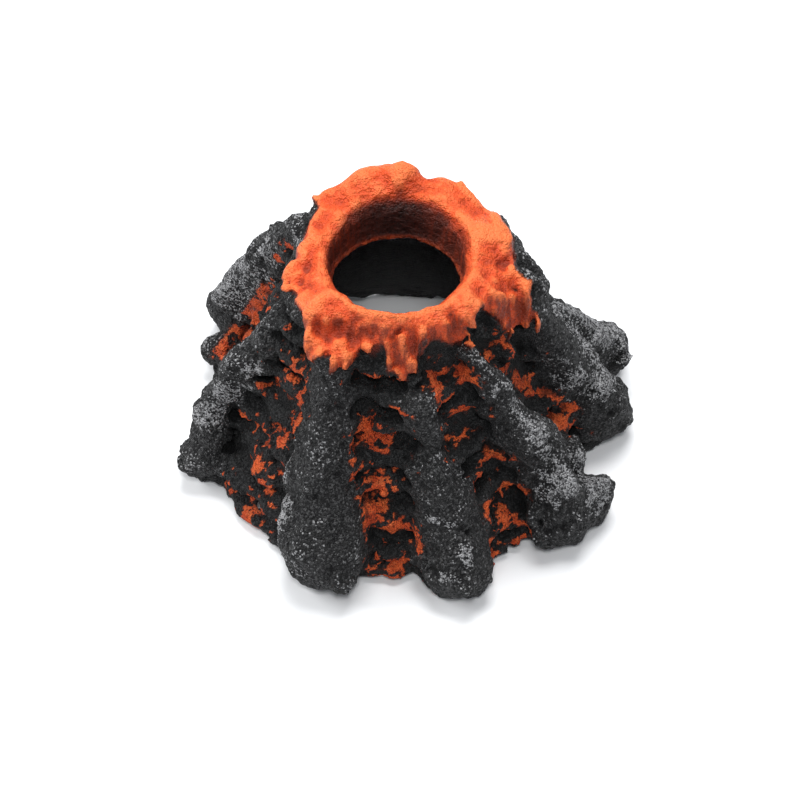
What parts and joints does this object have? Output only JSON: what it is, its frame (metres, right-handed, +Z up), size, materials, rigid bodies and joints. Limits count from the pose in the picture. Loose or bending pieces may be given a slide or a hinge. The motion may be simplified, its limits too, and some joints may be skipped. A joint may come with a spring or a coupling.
{
  "type": "aquarium bubbling ornament",
  "caption": "Hollow volcano-shaped aquarium ornament with an open lava crater, standing over a disc air diffuser on suction cups.",
  "frame": {"origin": "on the tank floor, under the middle of the ornament's bounding box", "axes": "+X to the right and -Y to the front as the ornament is displayed, +Z up along the crater's axis"},
  "size_m": [0.1392, 0.137, 0.0869],
  "materials": {
    "painted_resin": "matte",
    "black_moulding": "satin",
    "grey_moulding": "satin",
    "porous_mineral": "matte",
    "black_rubber": "matte",
    "clear_rubber": "gloss"
  },
  "bodies": {
    "diffuser": {"diffuser_base": "black_moulding", "stone_gasket": "black_rubber", "diffuser_stone": "porous_mineral", "suction_cup_back": "clear_rubber", "suction_cup_left": "clear_rubber", "suction_cup_front": "clear_rubber"},
    "shell": {"volcano_shell": "painted_resin"},
    "ring": {"retaining_ring": "grey_moulding"},
    "inlet": {"inlet_elbow": "grey_moulding", "inlet_seal": "black_rubber"}
  },
  "joints": [
    {"name": "shell_lift", "type": "slide", "parent": "diffuser", "child": "shell", "axis": [0, 0, 1], "range_m": [0, 0.1]},
    {"name": "ring_twist", "type": "hinge", "parent": "diffuser", "child": "ring", "pos_m": [-0.004, -0.001, 0.0147], "axis": [0, 0, 1], "range_deg": [0, 28]},
    {"name": "elbow_swivel", "type": "hinge", "parent": "diffuser", "child": "inlet", "pos_m": [0.02062, 0.00796, 0.0125], "axis": [0, 0, 1], "range_deg": [-90, 60]}
  ]
}
